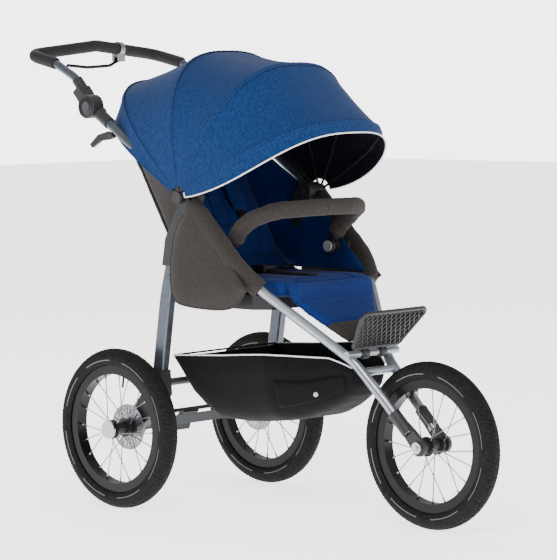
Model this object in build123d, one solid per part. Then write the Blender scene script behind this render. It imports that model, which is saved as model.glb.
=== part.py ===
from build123d import *
import os
from math import atan2, cos, degrees, radians, sin, sqrt

os.makedirs("parts", exist_ok=True)

# Three-wheeled baby stroller with 16-inch spoked wheels, in millimetres.
# X runs across (child's left is +X), -Y is forward, Z is up. The origin is on the ground,
# in the middle of the outer box. Inside the script, Y is measured from the rear axle and
# heights named *_RISE are measured from the axle line.

# ---------------------------------------------------------------- driving dimensions
TYRE_OD = 405.0            # 50-305 (16 inch) tyre
TYRE_SECTION = 50.0
TYRE_WALL = 5.0
WHEELBASE = 809.0
TRACK = 536.0              # between the rear wheels' middle planes
TUBE_D = 24.0
TUBE_WALL = 1.8
HINGE_X = 232.0            # main tubes and pusher tubes share these planes
HINGE_BACK = -215.0        # main hinge, from the rear axle
HINGE_RISE = 587.5
FORK_HALF = 45.0           # fork end's middle plane at the front axle
FORK_CLEARANCE = 70.0      # tyre to fork crown
FORK_ANGLE = 45.2          # degrees above level
CROWN_HALF = 63.0
RAIL_LOW = (190.0, -450.0, 355.0)     # lower seat corner of the main tube
RAIL_HIGH = (230.0, -400.0, 409.5)    # upper seat corner of the main tube
LEG_X = 206.0              # middle plane of a rear leg
LEG_DEPTH = 36.0
LEG_THICK = 25.0
PUSHER_JOINT = (120.0, 811.0)         # handle joint: from the rear axle, above the axle line
HANDLE_X = 226.0
HANDLE_TUBE_D = 21.0
GRIP_D = 31.0
FABRIC = 1.8
BUMPER_D = 43.0
SEAT_HALF = 172.0
BASKET_HALF = 186.0
BACKREST_TILT = 31.0       # degrees back from upright
BACKREST_LENGTH = 385.0
SPOKES = 20
PIN_D = 12.0
RUNNING = 0.05             # radial clearance of a pin in its hole
GAP = 0.4                  # between faces that slide past each other

AXLE_Z = TYRE_OD / 2
HANDLE_REAR = (366.0, 944.5)          # handle corner: back, rise
HANDLE_PEAK = (357.0, 968.5)          # middle of the crossbar: back, rise
FRONT_Y = -WHEELBASE - TYRE_OD / 2
REAR_Y = max(HANDLE_REAR[0], HANDLE_PEAK[0]) + GRIP_D / 2
SHIFT_Y = -(FRONT_Y + REAR_Y) / 2


# ---------------------------------------------------------------- helpers
def at(x, back, rise):
    """Point from its place beside the rear axle."""
    return Vector(x, back + SHIFT_Y, rise + AXLE_Z)


def tube_along(points, radii, outer, inner=0.0):
    """Round bar or pipe along straight runs with rounded corners."""
    path = FilletPolyline(*points, radius=radii) if len(points) > 2 else Line(*points)
    start = Plane(path @ 0, z_dir=path % 0)
    section = start * Circle(outer / 2)
    if inner:
        section -= start * Circle(inner / 2)
    return sweep(section, path=path)


def bar_x(back, rise, radius, low, high):
    """Cylinder along X between two X values."""
    return Plane(at(low, back, rise), z_dir=(1, 0, 0)) * extrude(Circle(radius), high - low)


def plate_x(outline, low, high):
    """Flat plate: an outline in (back, rise), extruded along X from low to high."""
    points = [at(low, back, rise) for back, rise in outline]
    return extrude(make_face(Polyline(*points, close=True)), high - low, dir=(1, 0, 0))


def both(solid):
    """A piece and its mirror image on the other side."""
    return [solid, solid.mirror(Plane.YZ)]


def unit(a, b):
    length = sqrt((b[0] - a[0]) ** 2 + (b[1] - a[1]) ** 2)
    return ((b[0] - a[0]) / length, (b[1] - a[1]) / length)


def along(a, b, distance, aside=0.0):
    """Point on the line a to b in (back, rise), then aside to its left."""
    u = unit(a, b)
    return (a[0] + u[0] * distance - u[1] * aside, a[1] + u[1] * distance + u[0] * aside)


def save(node, *solids):
    flat = []
    for solid in solids:
        flat.extend(solid if isinstance(solid, (list, tuple)) else [solid])
    pieces = []
    for shape in flat:
        pieces.extend(shape.solids())
    shape = pieces[0] if len(pieces) == 1 else Compound(children=pieces)
    shape.label = node
    export_step(shape, f"parts/{node}.step")


# ---------------------------------------------------------------- wheels
RIM_R = TYRE_OD / 2 - TYRE_SECTION           # floor of the rim
BEAD_R = RIM_R + 8.0                         # where the tyre's beads sit
SEAT_GAP = 0.2
SEAT_T = 3.0
RIM_HALF = 16.0
RIM_DEPTH = 14.0
HUB_R = 15.0
HUB_FLANGE_R = 24.0
SPOKE_D = 2.4
DISC_R = 58.0
DISC_THICK = 2.4


def tyre():
    ring = TYRE_OD / 2 - TYRE_SECTION / 2
    arcs = []
    for radius in (TYRE_SECTION / 2, TYRE_SECTION / 2 - TYRE_WALL):
        half = sqrt(radius ** 2 - (ring - BEAD_R) ** 2)
        arcs.append(((BEAD_R, -half), (ring + radius, 0), (BEAD_R, half)))
    outer, inner = arcs
    section = make_face([ThreePointArc(*outer), Line(outer[2], inner[2]),
                         ThreePointArc(*inner), Line(inner[0], outer[0])])
    half_ring = revolve(Plane.XZ * section, Axis.Z, 180)
    return (half_ring + half_ring.rotate(Axis.Z, 180)).rotate(Axis.Y, 90)


def rim():
    seat_r = BEAD_R - SEAT_GAP
    seat = Cylinder(seat_r, 2 * RIM_HALF) - Cylinder(seat_r - SEAT_T, 2 * RIM_HALF - 5)
    well = Cylinder(seat_r - SEAT_T, 2 * RIM_HALF - 5) - Cylinder(RIM_R - RIM_DEPTH, 2 * RIM_HALF)
    bore = Cylinder(RIM_R - RIM_DEPTH, 3 * RIM_HALF)
    ring = (seat + well) - bore
    return ring.rotate(Axis.Y, 90)


def spokes(flange_half):
    """Crossed spokes that run from the rim's inner face to the hub's flanges."""
    bars = []
    rim_r = RIM_R - RIM_DEPTH - 0.05
    for i in range(SPOKES):
        side = 1 if i % 2 else -1
        lead = 28.0 if (i // 2) % 2 else -28.0
        outer_angle = radians(360.0 * i / SPOKES)
        inner_angle = outer_angle + radians(lead)
        root = HUB_FLANGE_R - 2.5
        start = Vector(side * (flange_half + 2.9), root * cos(inner_angle), root * sin(inner_angle))
        end = Vector(side * 3.0, rim_r * cos(outer_angle), rim_r * sin(outer_angle))
        run = end - start
        bars.append(Plane(start, z_dir=run) * extrude(Circle(SPOKE_D / 2), run.length - 1.0))
    return bars


def hub(flange_half, left_end, right_end, bore):
    """Hub shell with two spoke flanges, symmetric inside, cut to length."""
    body = Cylinder(HUB_R, right_end - left_end).translate((0, 0, (right_end + left_end) / 2))
    for side in (-1, 1):
        flange = Cylinder(HUB_FLANGE_R, 2.4).translate((0, 0, side * flange_half))
        body += flange
    body -= Cylinder(bore, 4 * (right_end - left_end))
    return body.rotate(Axis.Y, 90)


def place(shape, x, back):
    return shape.translate(at(x, back, 0.0))


AXLE_R = 6.0
FRONT_HUB_HALF = FORK_HALF - 5.0 - GAP
REAR_HUB_OUT = 32.0
REAR_HUB_IN = 38.0
DISC_IN = 33.0              # brake disc, inward from the wheel's middle plane
FLANGE_HALF = 19.0

save("front_tyre", place(tyre(), 0, -WHEELBASE))
save("front_rim", place(rim(), 0, -WHEELBASE))
save("front_spokes", [place(bar, 0, -WHEELBASE) for bar in spokes(FLANGE_HALF)])
save("front_hub", place(hub(FLANGE_HALF, -FRONT_HUB_HALF, FRONT_HUB_HALF, AXLE_R + RUNNING), 0, -WHEELBASE))

for name, side in (("left", 1), ("right", -1)):
    x = side * TRACK / 2
    ends = (-REAR_HUB_IN, REAR_HUB_OUT) if side > 0 else (-REAR_HUB_OUT, REAR_HUB_IN)
    rear_hub = hub(FLANGE_HALF, ends[0], ends[1], AXLE_R + RUNNING)
    save(f"{name}_tyre", place(tyre(), x, 0))
    save(f"{name}_rim", place(rim(), x, 0))
    save(f"{name}_spokes", [place(bar, x, 0) for bar in spokes(FLANGE_HALF)])
    save(f"{name}_hub", place(rear_hub, x, 0))
    disc = Cylinder(DISC_R, DISC_THICK) - Cylinder(HUB_R + 0.02, 3 * DISC_THICK)
    slot = Box(17, 3.2, 3 * DISC_THICK).translate((DISC_R - 14, 0, 0))
    disc -= [slot.rotate(Axis.Z, 15.0 * i) for i in range(24)]
    save(f"{name}_brake_disc", place(disc.rotate(Axis.Y, 90), x - side * DISC_IN, 0))

# ---------------------------------------------------------------- main frame
fork_u = (cos(radians(FORK_ANGLE)), sin(radians(FORK_ANGLE)))
fork_length = TYRE_OD / 2 + FORK_CLEARANCE


def on_fork(distance, half):
    return (half, -WHEELBASE + fork_u[0] * distance, fork_u[1] * distance)


crown = on_fork(fork_length, CROWN_HALF)
hinge = (HINGE_BACK, HINGE_RISE)
KNUCKLE_REACH = 56.0
rail_top = along(hinge, (RAIL_HIGH[1], RAIL_HIGH[2]), KNUCKLE_REACH)
FORK_TUBE_START = 44.0
main_route = [
    at(*on_fork(FORK_TUBE_START, FORK_HALF + 2)),
    at(*on_fork(150.0, FORK_HALF + 6)),
    at(*crown),
    at(*RAIL_LOW),
    at(*RAIL_HIGH),
    at(HINGE_X, *rail_top),
]
main_radii = [300.0, 90.0, 130.0, 130.0]
main_tube = tube_along(main_route, main_radii, TUBE_D, TUBE_D - 2 * TUBE_WALL)
main_solid = tube_along(main_route, main_radii, TUBE_D + 0.04)
both_main_solids = both(main_solid)

# fork ends: a moulded shoe around the lower fork tube that runs down to the axle
SHOE_T = 10.0
shoe = bar_x(-WHEELBASE, 0, 21.0, FORK_HALF - SHOE_T / 2, FORK_HALF + SHOE_T / 2)
shoe_side = [along((-WHEELBASE, 0), (crown[1], crown[2]), d, a)
             for d, a in ((0, 19), (0, -19), (62, -14), (62, 14))]
shoe += plate_x(shoe_side, FORK_HALF - SHOE_T / 2, FORK_HALF + SHOE_T / 2)
shoe_route = [at(*on_fork(46.0, FORK_HALF + 2)), at(*on_fork(108.0, FORK_HALF + 4.3))]
shoe += tube_along(shoe_route, [], TUBE_D + 7.0)
shoe -= main_solid
shoe -= bar_x(-WHEELBASE, 0, AXLE_R, FORK_HALF - 30, FORK_HALF + 30)
keep_out = bar_x(-WHEELBASE, 0, 60.0, FRONT_HUB_HALF - 30, FRONT_HUB_HALF + GAP)
shoe -= keep_out
save("fork_ends", both(shoe))

# front axle: a rod through the hub with a nut at each end
nut_in = FORK_HALF + SHOE_T / 2
axle = bar_x(-WHEELBASE, 0, AXLE_R, -nut_in - 12, nut_in + 12)
for side in (-1, 1):
    low, high = sorted((side * nut_in, side * (nut_in + 9)))
    axle += bar_x(-WHEELBASE, 0, 14.0, low, high)
save("front_axle", axle)

# cross tubes: fork bridge under the crown, and the tube that carries the footrest
BRIDGE_DOWN = 34.0
bridge = on_fork(fork_length - BRIDGE_DOWN, CROWN_HALF - 5)
bridge_tube = bar_x(bridge[1], bridge[2], 10.0, -bridge[0], bridge[0])
FOOT_BAR = (crown[1] - 3.0, crown[2] + 18.5)
FOOT_BAR_D = 18.0
foot_tube = bar_x(FOOT_BAR[0], FOOT_BAR[1], FOOT_BAR_D / 2, -92.0, 92.0)
cross = []
for piece in (bridge_tube, foot_tube):
    for solid in both_main_solids:
        piece = piece - solid
    cross.append(max(piece.solids(), key=lambda s: s.volume))
save("frame_tubes", both(main_tube), cross)

# main hinge: flat knuckles that pass each other, on a common pin
KNUCKLE_R = 22.0
KNUCKLE_MID = HINGE_X


def knuckle(toward, low, high, hole):
    """Flat eye at the hinge with a stub that enters the end of a tube."""
    end = along(hinge, toward, KNUCKLE_REACH)
    outline = [along(hinge, toward, d, a) for d, a in
               ((0, 17), (0, -17), (KNUCKLE_REACH - 2, -10.5), (KNUCKLE_REACH - 2, 10.5))]
    eye = bar_x(hinge[0], hinge[1], KNUCKLE_R, low, high) + plate_x(outline, low, high)
    stub_start = along(hinge, toward, KNUCKLE_REACH - 4)
    stub_end = along(hinge, toward, KNUCKLE_REACH + 18)
    collar = tube_along([at(HINGE_X, *stub_start), at(HINGE_X, *end)], [], TUBE_D)
    stub = tube_along([at(HINGE_X, *end), at(HINGE_X, *stub_end)], [], TUBE_D - 2 * TUBE_WALL - 0.06)
    eye = eye + collar + stub
    return eye - bar_x(hinge[0], hinge[1], hole, low - 5, high + 5)


frame_knuckle = knuckle((RAIL_HIGH[1], RAIL_HIGH[2]), KNUCKLE_MID + GAP / 2, KNUCKLE_MID + 11.5, PIN_D / 2)
pusher_knuckle = knuckle(PUSHER_JOINT, KNUCKLE_MID - 11.5, KNUCKLE_MID - GAP / 2, PIN_D / 2 + RUNNING)
save("frame_knuckles", both(frame_knuckle))
save("pusher_knuckles", both(pusher_knuckle))

BOW_T = 2.4
BOW_START = HINGE_X + 16.0
bow_x = [BOW_START + i * (BOW_T + GAP) for i in range(4)]      # inner face of each bow's eye
pin_end = bow_x[3] + BOW_T + GAP
pin = bar_x(hinge[0], hinge[1], PIN_D / 2, LEG_X - 20.0, pin_end)
pin += bar_x(hinge[0], hinge[1], 15.0, pin_end, pin_end + 4.0)
pin += bar_x(hinge[0], hinge[1], 10.0, LEG_X - 23.0, LEG_X - 20.0)
save("hinge_pins", both(pin))

# ---------------------------------------------------------------- rear legs and axle
leg_points = [(-205.0, 560.0), (-160.0, 478.0), (-122.0, 340.0), (-90.0, 138.0)]
leg_path = FilletPolyline(*[at(LEG_X, *p) for p in leg_points], radius=[300.0, 500.0])
leg_plane = Plane(leg_path @ 0, x_dir=(1, 0, 0), z_dir=leg_path % 0)
leg_solid = sweep(leg_plane * RectangleRounded(LEG_THICK, LEG_DEPTH, 5), path=leg_path)
leg_hollow = sweep(leg_plane * RectangleRounded(LEG_THICK - 4, LEG_DEPTH - 4, 3), path=leg_path)
leg_cut = plate_x([(-400, 432), (100, 432), (100, 800), (-400, 800)], LEG_X - 60, LEG_X + 60)
leg_tube = leg_solid - leg_hollow - leg_cut
save("leg_tubes", both(leg_tube))

HOUSING_LOW = LEG_X - 15.0
HOUSING_HIGH = KNUCKLE_MID - 11.5 - GAP
housing_outline = [(-238.0, 572.0), (-186.0, 470.0), (-173.0, 415.0), (-116.0, 415.0),
                   (-128.0, 482.0), (-193.0, 600.0)]
housing = plate_x(housing_outline, HOUSING_LOW, HOUSING_HIGH)
housing += bar_x(hinge[0], hinge[1], 25.0, HOUSING_LOW, HOUSING_HIGH)
housing -= leg_solid - leg_cut
housing -= bar_x(hinge[0], hinge[1], PIN_D / 2 + RUNNING, HOUSING_LOW - 5, HOUSING_HIGH + 5)
save("leg_housings", both(housing))

BRACKET_LOW = LEG_X - 14.0
BRACKET_HIGH = LEG_X + 20.0
bracket_outline = [(-24.0, -4.0), (-10.0, -24.0), (14.0, -22.0), (24.0, 4.0), (16.0, 24.0),
                   (-60.0, 108.0), (-64.0, 150.0), (-113.0, 150.0), (-118.0, 88.0), (-60.0, 20.0)]
bracket = plate_x(bracket_outline, BRACKET_LOW, BRACKET_HIGH)
bracket = bracket - leg_solid - bar_x(0, 0, 9.0, BRACKET_LOW - 5, BRACKET_HIGH + 5)
save("axle_brackets", both(bracket))

stub_tip = TRACK / 2 + REAR_HUB_OUT
stub = bar_x(0, 0, 9.0, BRACKET_LOW + 4, BRACKET_HIGH) + bar_x(0, 0, AXLE_R, BRACKET_HIGH, stub_tip)
stub += bar_x(0, 0, 23.0, stub_tip + GAP, stub_tip + 6.0) + bar_x(0, 0, AXLE_R, stub_tip, stub_tip + 1)
save("stub_axles", both(stub))

BEAM = 22.0
beam = Box(2 * BRACKET_LOW - 0.1, BEAM, BEAM).translate(at(0, -12, 2))
upper_cross = bar_x(-92.0, 116.0, 9.5, -BRACKET_LOW + 0.05, BRACKET_LOW - 0.05)
save("rear_cross_beams", beam, upper_cross)

ROD = (15.0, 22.0)
rod = bar_x(ROD[0], ROD[1], 5.0, -BRACKET_LOW + 1, BRACKET_LOW - 1)
pedal = plate_x([(9, 24), (20, 26), (52, -14), (55, -32), (47, -36), (40, -16), (12, 14)], -27, 27)
save("foot_brake", rod + pedal)

# ---------------------------------------------------------------- pusher and handle
pusher_start = along(hinge, PUSHER_JOINT, KNUCKLE_REACH)
JOINT_R = 30.0
pusher_end = along(PUSHER_JOINT, hinge, JOINT_R + 3)
pusher_route = [at(HINGE_X, *pusher_start), at(HINGE_X, *pusher_end)]
pusher_tube = tube_along(pusher_route, [], TUBE_D, TUBE_D - 2 * TUBE_WALL)
pusher_solid = tube_along(pusher_route, [], TUBE_D + 0.04)
# lug under the tube for the fold lever
LEVER_AT = 300.0
lug_c = along(hinge, PUSHER_JOINT, LEVER_AT, -21.0)
lug = bar_x(lug_c[0], lug_c[1], 7.0, HINGE_X - 7, HINGE_X - 0.5)
lug += plate_x([along(hinge, PUSHER_JOINT, LEVER_AT + d, a) for d, a in
                ((-7, -21), (7, -21), (9, -9), (-9, -9))], HINGE_X - 7, HINGE_X - 0.5)
lug += bar_x(lug_c[0], lug_c[1], 3.0, HINGE_X - 0.5, HINGE_X + 9)
bore_solid = tube_along(pusher_route, [], TUBE_D - 2 * TUBE_WALL)
save("pusher_tubes", both((pusher_tube + (lug - bore_solid))))

lever_outline = [along(hinge, PUSHER_JOINT, LEVER_AT + d, a) for d, a in
                 ((-12, -16), (-4, -29), (22, -50), (40, -84), (52, -82), (40, -44), (14, -15.5), (0, -13.5))]
lever = plate_x(lever_outline, HINGE_X - 0.1, HINGE_X + 8)
lever -= bar_x(lug_c[0], lug_c[1], 3.0 + RUNNING, HINGE_X - 5, HINGE_X + 15)
for name, side in (("left", 0), ("right", 1)):
    save(f"{name}_fold_lever", both(lever)[side])

BASE_LOW, BASE_HIGH = HINGE_X - 12.0, HINGE_X + 6.0
HEAD_LOW, HEAD_HIGH = BASE_HIGH + GAP, BASE_HIGH + GAP + 15.0
HUB_PIN_R = 8.0
HANDLE_BUTTON_R = 13.0
BUTTON_WELL = 5.0
base = bar_x(*PUSHER_JOINT, JOINT_R, BASE_LOW, BASE_HIGH)
base += plate_x([along(PUSHER_JOINT, hinge, d, a) for d, a in ((0, -15), (40, -15), (40, 15), (0, 15))],
                BASE_LOW, BASE_HIGH)
socket_route = [at(HINGE_X, *along(PUSHER_JOINT, hinge, d)) for d in (JOINT_R + 2, JOINT_R + 48)]
base += tube_along(socket_route, [], TUBE_D + 7)
base -= pusher_solid
base += bar_x(*PUSHER_JOINT, HUB_PIN_R, BASE_HIGH, HEAD_HIGH - 3)
save("handle_joint_bases", both(base))

handle_dir = (186.0, 883.0)
head = bar_x(*PUSHER_JOINT, JOINT_R, HEAD_LOW, HEAD_HIGH)
neck = plate_x([along(PUSHER_JOINT, handle_dir, d, a) for d, a in
                ((JOINT_R + GAP + 1, -12), (JOINT_R + 30, -13), (JOINT_R + 30, 13), (JOINT_R + GAP + 1, 12))],
               HANDLE_X - 14, HEAD_HIGH)
neck += plate_x([along(PUSHER_JOINT, handle_dir, d, a) for d, a in
                 ((0, -14), (JOINT_R + 8, -13), (JOINT_R + 8, 13), (0, 14))], HEAD_LOW, HEAD_HIGH)
head += neck - bar_x(*PUSHER_JOINT, JOINT_R + 1.0, BASE_LOW - 5, HEAD_LOW)
head_sleeve = [at(HANDLE_X, *along(PUSHER_JOINT, handle_dir, JOINT_R + 20)),
               at(HANDLE_X, *along(PUSHER_JOINT, handle_dir, JOINT_R + 62))]
head += tube_along(head_sleeve, [], HANDLE_TUBE_D + 7)
handle_start = along(PUSHER_JOINT, handle_dir, JOINT_R + 24)
handle_route = [at(HANDLE_X, *handle_start), at(HANDLE_X, *handle_dir), at(HANDLE_X, 262, 921),
                at(HANDLE_X, *HANDLE_REAR), at(0, *HANDLE_PEAK)]
mirrored = [Vector(-p.X, p.Y, p.Z) for p in reversed(handle_route[:-1])]
handle_points = handle_route + mirrored
handle_radii = [90.0, 90.0, 34.0, 60.0, 34.0, 90.0, 90.0]
handle_pipe = tube_along(handle_points, handle_radii, HANDLE_TUBE_D, HANDLE_TUBE_D - 2 * TUBE_WALL)
handle_solid = tube_along(handle_points, handle_radii, HANDLE_TUBE_D + 0.04)
grip_points = [at(HANDLE_X, 264, 921.5)] + handle_points[3:6] + [at(-HANDLE_X, 264, 921.5)]
grip = tube_along(grip_points, [34.0, 60.0, 34.0], GRIP_D)
grip -= handle_solid
save("handle_tube", handle_pipe)
save("handle_grip", grip)
head -= handle_solid
head -= bar_x(*PUSHER_JOINT, HUB_PIN_R + RUNNING, HEAD_LOW - 5, HEAD_HIGH - 3 + GAP)
head -= bar_x(*PUSHER_JOINT, HANDLE_BUTTON_R + RUNNING, HEAD_HIGH - BUTTON_WELL, HEAD_HIGH + 5)
save("handle_joint_heads", both(head))

BUTTON_TRAVEL = 2.0
button = bar_x(*PUSHER_JOINT, HANDLE_BUTTON_R, HEAD_HIGH - 3 + GAP + BUTTON_TRAVEL + 0.2, HEAD_HIGH + 2.6)
for name, side in (("left", 0), ("right", 1)):
    save(f"{name}_handle_button", both(button)[side])

# hand brake: a clamp round the grip and a lever under the crossbar
CLAMP_X = 84.0
slope = (HANDLE_PEAK[1] - HANDLE_REAR[1]) / HANDLE_X
clamp_rise = HANDLE_PEAK[1] - slope * CLAMP_X
clamp_back = HANDLE_PEAK[0] + (HANDLE_REAR[0] - HANDLE_PEAK[0]) * CLAMP_X / HANDLE_X
across = Vector(1, (HANDLE_REAR[0] - HANDLE_PEAK[0]) / HANDLE_X, -slope).normalized()
clamp_mid = at(CLAMP_X, clamp_back, clamp_rise)
clamp = Plane(clamp_mid - across * 8, z_dir=across) * extrude(Circle(GRIP_D / 2 + 4), 16)
clamp_bore = Plane(clamp_mid - across * 20, z_dir=across) * extrude(Circle(GRIP_D / 2 + 0.03), 40)
PIVOT = (CLAMP_X, clamp_back, clamp_rise - GRIP_D / 2 - 13)
block = Box(20, 9, 22).translate(at(PIVOT[0], PIVOT[1] - 11, PIVOT[2] + 6))
block += Box(20, 9, 22).translate(at(PIVOT[0], PIVOT[1] + 11, PIVOT[2] + 6))
brake_pin = Plane(at(PIVOT[0], PIVOT[1] - 12, PIVOT[2]), z_dir=(0, 1, 0)) * extrude(Circle(2.5), 24)
clamp = clamp + block - clamp_bore + brake_pin
save("brake_clamp", clamp)

lever_points = [at(PIVOT[0] + 3, PIVOT[1], PIVOT[2]), at(50, PIVOT[1], PIVOT[2] - 16),
                at(-30, PIVOT[1], PIVOT[2] - 20), at(-100, PIVOT[1], PIVOT[2] - 14)]
brake_lever = tube_along(lever_points, [40.0, 60.0], 8.6)
eye = Plane(at(PIVOT[0], PIVOT[1] - 6, PIVOT[2]), z_dir=(0, 1, 0)) * extrude(Circle(6), 12)
eye_hole = Plane(at(PIVOT[0], PIVOT[1] - 9, PIVOT[2]), z_dir=(0, 1, 0)) * extrude(Circle(2.5 + RUNNING), 18)
save("brake_lever", brake_lever + eye - eye_hole)

# ---------------------------------------------------------------- canopy
# Each bow: angle forward of upright about the hinge, height, half-width and squareness.
BOWS = {
    "rear": (-48.0, 425.0, bow_x[0] + BOW_T, 3.0),
    "middle": (-13.0, 366.0, bow_x[1] + BOW_T, 2.7),
    "top": (27.0, 363.0, bow_x[2] + BOW_T, 2.6),
    "front": (62.0, 384.0, bow_x[3] + BOW_T, 2.5),
}
REAR_HEM = (-59.5, 398.0, bow_x[0] + BOW_T, 3.4)
EYE_R = 14.0
BOW_DEPTH = 6.0


def arch(height, half, power, low):
    """Closed outline in local (x, y): a squared arch over y = low."""
    count = 15
    points = []
    for i in range(count):
        t = radians(180.0 * i / (count - 1))
        c, s = cos(t), sin(t)
        x = half * (1 if c >= 0 else -1) * abs(c) ** (2 / power)
        points.append((x, height * s ** (2 / power) if s > 1e-9 else 0.0))
    curve = Spline(*points, tangents=[(0, 1), (0, -1)])
    face = make_face(curve + Line(points[-1], points[0]))
    return face - Rectangle(3 * half, 2 * low)


def bow_plane(angle, offset=0.0):
    """Plane through the hinge axis, turned forward by angle; local y is outward."""
    a = radians(angle)
    outward = Vector(0, -sin(a), cos(a))
    normal = Vector(1, 0, 0).cross(outward)
    return Plane(at(0, *hinge) + normal * offset, x_dir=(1, 0, 0), z_dir=normal)


def bow(angle, height, half, power):
    ring = arch(height, half, power, 0.01) - arch(height - 3, half - BOW_T, power, 0.005)
    plane = bow_plane(angle, -BOW_DEPTH / 2)
    piece = plane * extrude(ring, BOW_DEPTH)
    for side in (-1, 1):
        low, high = sorted((side * half, side * (half - BOW_T)))
        piece += bar_x(hinge[0], hinge[1], EYE_R, low, high)
    return piece


def panel(first, second, gap=BOW_DEPTH / 2 + 1.0, second_gap=BOW_DEPTH / 2 + 1.0):
    """Cloth between two bows: a thin shell that stops short of both."""
    planes = (bow_plane(first[0], -gap), bow_plane(second[0], second_gap))
    shells = []
    for cover in (2.0, 2.0 - FABRIC):
        faces = [plane * arch(h[1] + cover, h[2] + cover, h[3], CANOPY_EDGE)
                 for plane, h in zip(planes, (first, second))]
        shells.append(loft(faces, ruled=True))
    return shells[0] - shells[1]


CANOPY_EDGE = 34.0
pin_holes = bar_x(hinge[0], hinge[1], PIN_D / 2 + RUNNING, -300, 300)
tube_clear = tube_along(pusher_route, [], TUBE_D + 4)
rear_bow = bow(*BOWS["rear"]) - pin_holes
rear_cloth = panel(BOWS["rear"], REAR_HEM, second_gap=0.0)
for solid in both(tube_clear) + both(base) + both(pusher_knuckle) + both(pusher_solid):
    rear_cloth = rear_cloth - solid
rear_cloth = [s for s in rear_cloth.solids() if s.volume > 500]
save("canopy_rear_bow", rear_bow)
save("canopy_rear_cloth", rear_cloth)
for name, before in (("middle", "rear"), ("top", "middle"), ("front", "top")):
    save(f"canopy_{name}_bow", bow(*BOWS[name]) - pin_holes)
    save(f"canopy_{name}_cloth", panel(BOWS[name], BOWS[before]))

# ---------------------------------------------------------------- seat
seat_base_plan = [(186, -180), (186, -395), (156, -436)]
plan = [at(x, b, 316) for x, b in seat_base_plan] + [at(-x, b, 316) for x, b in reversed(seat_base_plan)]
seat_base = extrude(make_face(Polyline(*plan, close=True)), 36, dir=(0, 0, 1))
save("seat_base", fillet(seat_base.edges().filter_by(Axis.Z), 12))

CUSHION = 34.0
cushion = Box(2 * SEAT_HALF, 290, CUSHION).translate(at(0, -335, 353 + CUSHION / 2))
cushion = fillet(cushion.edges().filter_by(Axis.Z), 25)

rest_side = [(-481, 386), (-484, 352), (-505, 318), (-596, 237), (-604, 247), (-522, 330), (-498, 386)]
leg_rest_plan = [at(x, b, 200) for x, b in ((160, -481), (160, -500), (100, -560), (60, -610))]
leg_rest_plan += [Vector(-p.X, p.Y, p.Z) for p in reversed(leg_rest_plan)]
leg_rest = plate_x(rest_side, -165, 165)
leg_rest = leg_rest & extrude(make_face(Polyline(*leg_rest_plan, close=True)), 300, dir=(0, 0, 1))
for solid in both_main_solids + [tube_along(main_route[2:4], [], TUBE_D + 4),
                                 tube_along(main_route[2:4], [], TUBE_D + 4).mirror(Plane.YZ)]:
    leg_rest = leg_rest - solid
save("seat_cushion", cushion, max(leg_rest.solids(), key=lambda s: s.volume))

side_outline = [(-252, 580), (-250, 545), (-200, 548), (-176, 500), (-160, 400), (-172, 330), (-300, 314),
                (-403, 340), (-452, 352), (-470, 372), (-430, 418)]
COVER_X = HINGE_X + TUBE_D / 2 + 0.3
cover = plate_x(side_outline, COVER_X, COVER_X + 2.0)
cover -= bar_x(hinge[0], hinge[1], 26.0, COVER_X - 5, COVER_X + 10)
save("side_covers", both(cover))

back_low = (-150.0, 380.0)
back_top = along(back_low, (back_low[0] + sin(radians(BACKREST_TILT)), back_low[1] + cos(radians(BACKREST_TILT))),
                 BACKREST_LENGTH)


def back_box(start, stop, front, rear, half):
    """Slab along the backrest, from front to rear of its rear face."""
    corners = [along(back_low, back_top, d, a) for d, a in ((start, front), (start, rear), (stop, rear), (stop, front))]
    slab = plate_x(corners, -half, half)
    return slab


RECLINE = along(back_low, back_top, 0.0, 12.0)
save("backrest_shell", back_box(22, BACKREST_LENGTH, 0.0, 8.0, SEAT_HALF + 6))
save("backrest_pad", back_box(26, BACKREST_LENGTH - 6, 8.0, 36.0, SEAT_HALF))
strap_up = [back_box(150, 330, 36.0, 44.0, 22).translate((side * 62, 0, 0)) for side in (-1, 1)]
save("shoulder_straps", strap_up)
SEAT_TOP = 353 + CUSHION
straps = Box(34, 150, 5).translate(at(0, -335, SEAT_TOP + 2.5))
lap = [Box(110, 34, 5).translate(at(side * 80, -255, SEAT_TOP + 2.5)) for side in (-1, 1)]
buckle = Box(48, 56, 16).translate(at(0, -255, SEAT_TOP + 13.2))
buckle = fillet(buckle.edges().filter_by(Axis.Z), 10)
buckle_hole = Plane(at(0, -255, SEAT_TOP + 16.2), z_dir=(0, 0, 1)) * extrude(Circle(11 + RUNNING), 10)
save("lap_and_crotch_straps", straps, lap)
save("buckle", buckle - buckle_hole)
save("buckle_button", Plane(at(0, -255, SEAT_TOP + 18.6), z_dir=(0, 0, 1)) * extrude(Circle(11), 4.0))

# ---------------------------------------------------------------- bumper bar
BUMPER_AT = (-318.0, 449.5)
SOCKET_R = 19.0
KNOB_IN, KNOB_OUT = 172.0, 186.0
tube_near = along((RAIL_HIGH[1], RAIL_HIGH[2]), hinge, 62.0)
socket = bar_x(*BUMPER_AT, SOCKET_R, KNOB_OUT + GAP, 206)
socket += plate_x([along(BUMPER_AT, tube_near, d, a) for d, a in ((0, -15), (42, -12), (42, 12), (0, 15))],
                  204, HINGE_X)
socket += bar_x(*BUMPER_AT, 6.0, KNOB_IN + 6, KNOB_OUT + GAP)
socket -= main_solid
socket = max(socket.solids(), key=lambda s: s.volume)
save("bumper_sockets", both(socket))

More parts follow.
